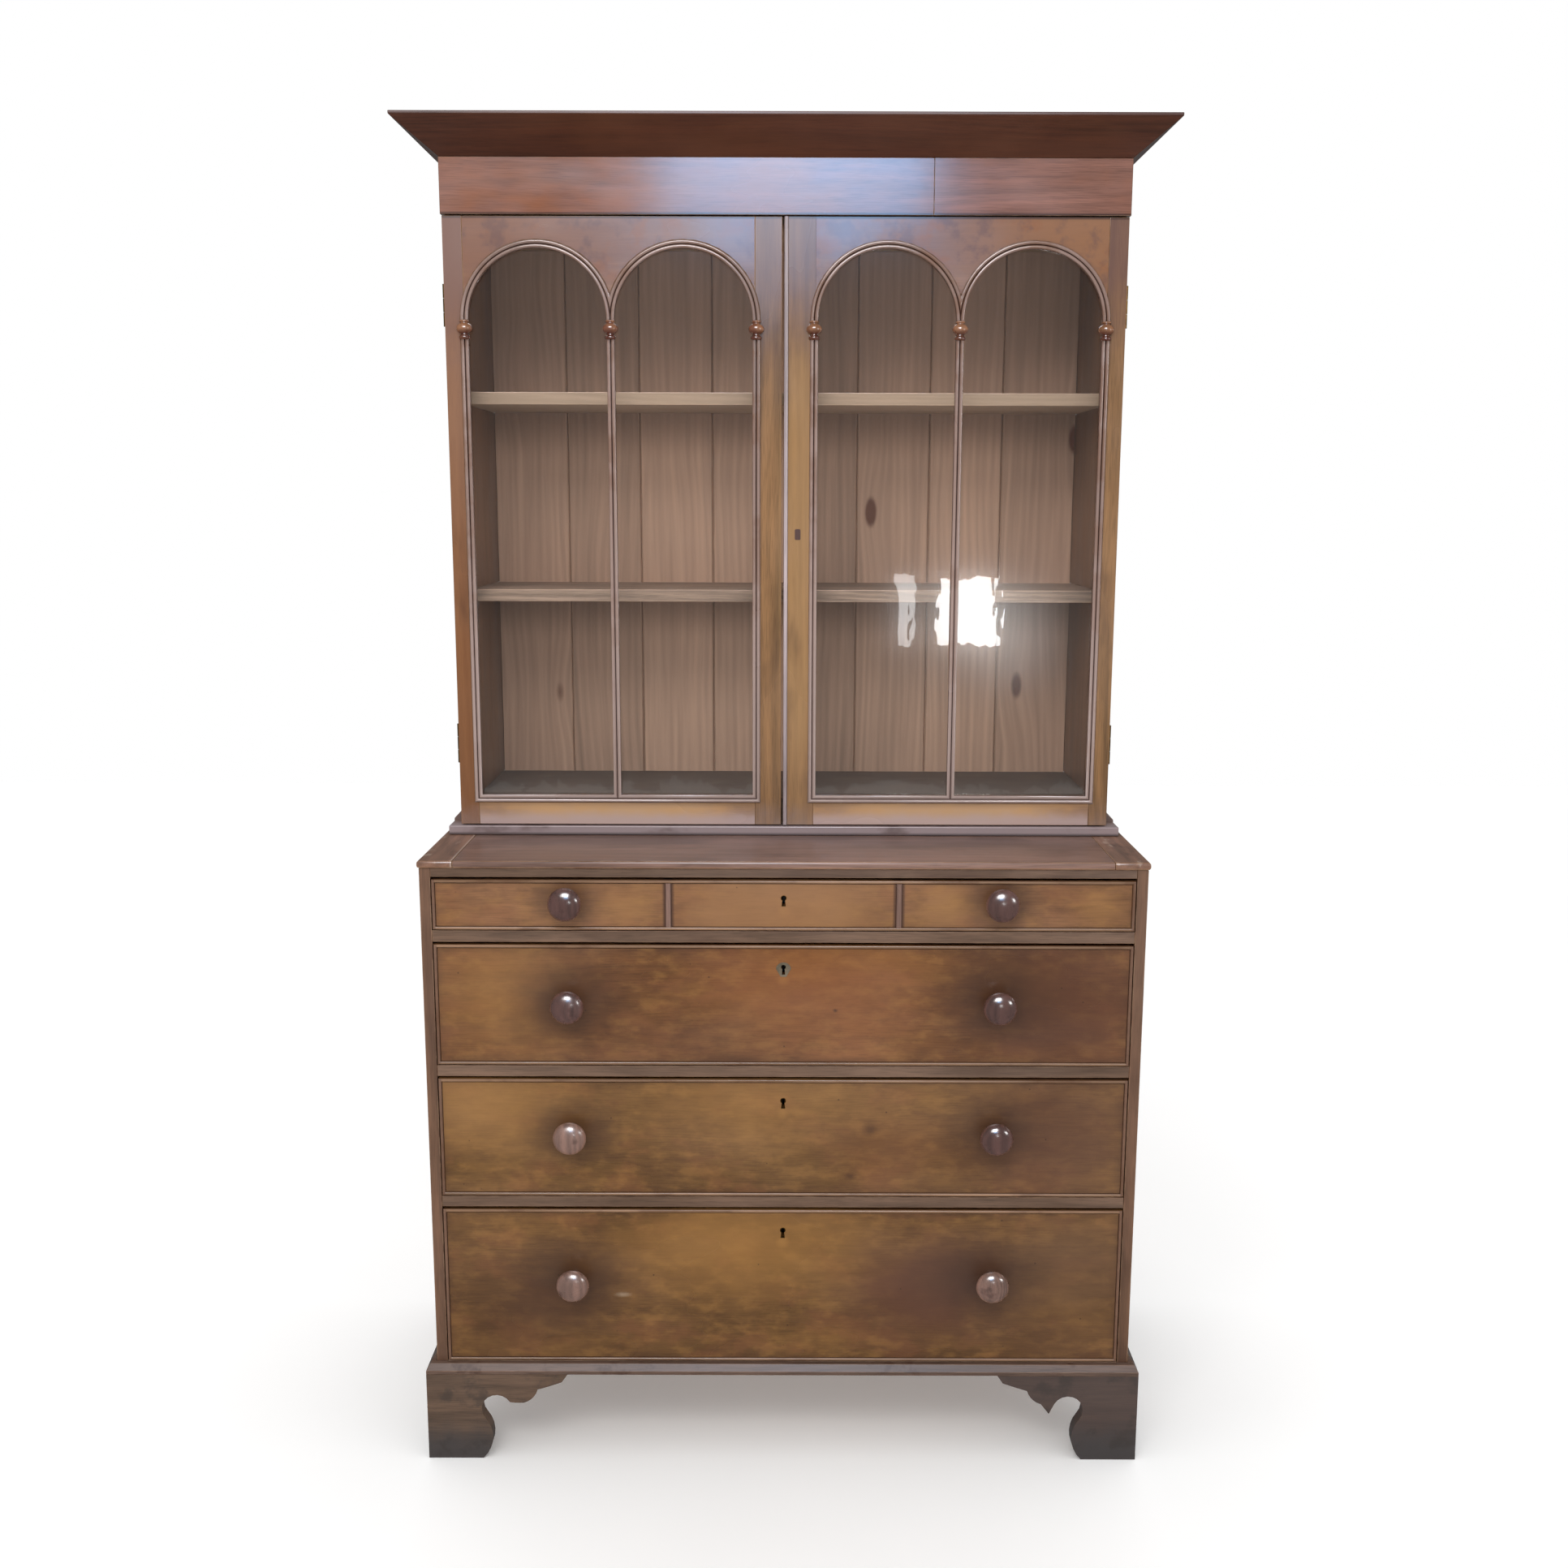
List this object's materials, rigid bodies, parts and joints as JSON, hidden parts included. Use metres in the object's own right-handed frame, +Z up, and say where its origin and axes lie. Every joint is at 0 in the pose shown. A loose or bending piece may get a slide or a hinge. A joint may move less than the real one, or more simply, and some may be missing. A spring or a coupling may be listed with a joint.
{
  "type": "bookcase on chest",
  "caption": "Shallow bookcase with arched glazed double doors and a splayed cornice, standing on a deeper chest of long drawers with turned knobs and scrolled bracket feet.",
  "frame": {"origin": "on the floor, under the middle of the box that holds the whole piece", "axes": "+Z up, +X to the right of someone facing the doors, the front faces -Y and the back is towards +Y"},
  "size_m": [1.179, 0.542, 2.092],
  "materials": {
    "red_brown_wood": "old waxed polish, worn on the edges",
    "golden_wood": "old waxed polish, dark round the edges",
    "dark_wood": "dark old polish",
    "foot_wood": "dull, scuffed",
    "knob_wood": "turned and polished",
    "pine": "bare, aged",
    "old_glass": "clear old sheet glass",
    "brass": "tarnished",
    "iron": "dull, aged"
  },
  "bodies": {
    "carcass": {"chest_left_side": "red_brown_wood", "chest_right_side": "red_brown_wood", "chest_top": "red_brown_wood", "chest_top_rail": "red_brown_wood", "upper_divider": "red_brown_wood", "middle_divider": "red_brown_wood", "lower_divider": "red_brown_wood", "chest_bottom": "golden_wood", "chest_back": "pine", "chest_base_moulding": "red_brown_wood", "front_left_foot": "foot_wood", "front_right_foot": "foot_wood", "back_left_foot": "foot_wood", "back_right_foot": "foot_wood", "bookcase_left_side": "red_brown_wood", "bookcase_right_side": "red_brown_wood", "bookcase_floor": "pine", "lower_shelf": "pine", "upper_shelf": "pine", "bookcase_top": "pine", "bookcase_back": "pine", "frieze": "red_brown_wood", "cornice": "dark_wood", "bookcase_base_moulding": "red_brown_wood", "left_lower_hinge_case_leaf": "brass", "left_upper_hinge_case_leaf": "brass", "right_lower_hinge_case_leaf": "brass", "right_upper_hinge_case_leaf": "brass"},
    "left_door": {"left_door_frame": "golden_wood", "left_door_arcade": "red_brown_wood", "left_door_outer_pane": "old_glass", "left_door_inner_pane": "old_glass", "left_lower_hinge_door_leaf": "brass", "left_upper_hinge_door_leaf": "brass"},
    "right_door": {"right_door_frame": "golden_wood", "right_door_arcade": "red_brown_wood", "right_door_outer_pane": "old_glass", "right_door_inner_pane": "old_glass", "right_lower_hinge_door_leaf": "brass", "right_upper_hinge_door_leaf": "brass"},
    "top_drawer": {"top_drawer_front": "golden_wood", "top_drawer_box": "pine", "top_drawer_lock": "iron", "top_drawer_left_knob": "knob_wood", "top_drawer_right_knob": "knob_wood"},
    "upper_drawer": {"upper_drawer_front": "golden_wood", "upper_drawer_box": "pine", "upper_drawer_lock": "iron", "upper_drawer_left_knob": "knob_wood", "upper_drawer_right_knob": "knob_wood"},
    "lower_drawer": {"lower_drawer_front": "golden_wood", "lower_drawer_box": "pine", "lower_drawer_lock": "iron", "lower_drawer_left_knob": "knob_wood", "lower_drawer_right_knob": "knob_wood"},
    "bottom_drawer": {"bottom_drawer_front": "golden_wood", "bottom_drawer_box": "pine", "bottom_drawer_lock": "iron", "bottom_drawer_left_knob": "knob_wood", "bottom_drawer_right_knob": "knob_wood"}
  },
  "joints": [
    {"name": "left_door_hinge", "type": "hinge", "parent": "carcass", "child": "left_door", "pos_m": [-0.531, -0.01075, 1.003], "axis": [0, 0, -1], "range_deg": [0, 110]},
    {"name": "right_door_hinge", "type": "hinge", "parent": "carcass", "child": "right_door", "pos_m": [0.531, -0.01075, 1.003], "axis": [0, 0, 1], "range_deg": [0, 110]},
    {"name": "top_drawer_slide", "type": "slide", "parent": "carcass", "child": "top_drawer", "axis": [0, -1, 0], "range_m": [0, 0.34]},
    {"name": "upper_drawer_slide", "type": "slide", "parent": "carcass", "child": "upper_drawer", "axis": [0, -1, 0], "range_m": [0, 0.34]},
    {"name": "lower_drawer_slide", "type": "slide", "parent": "carcass", "child": "lower_drawer", "axis": [0, -1, 0], "range_m": [0, 0.34]},
    {"name": "bottom_drawer_slide", "type": "slide", "parent": "carcass", "child": "bottom_drawer", "axis": [0, -1, 0], "range_m": [0, 0.34]}
  ]
}
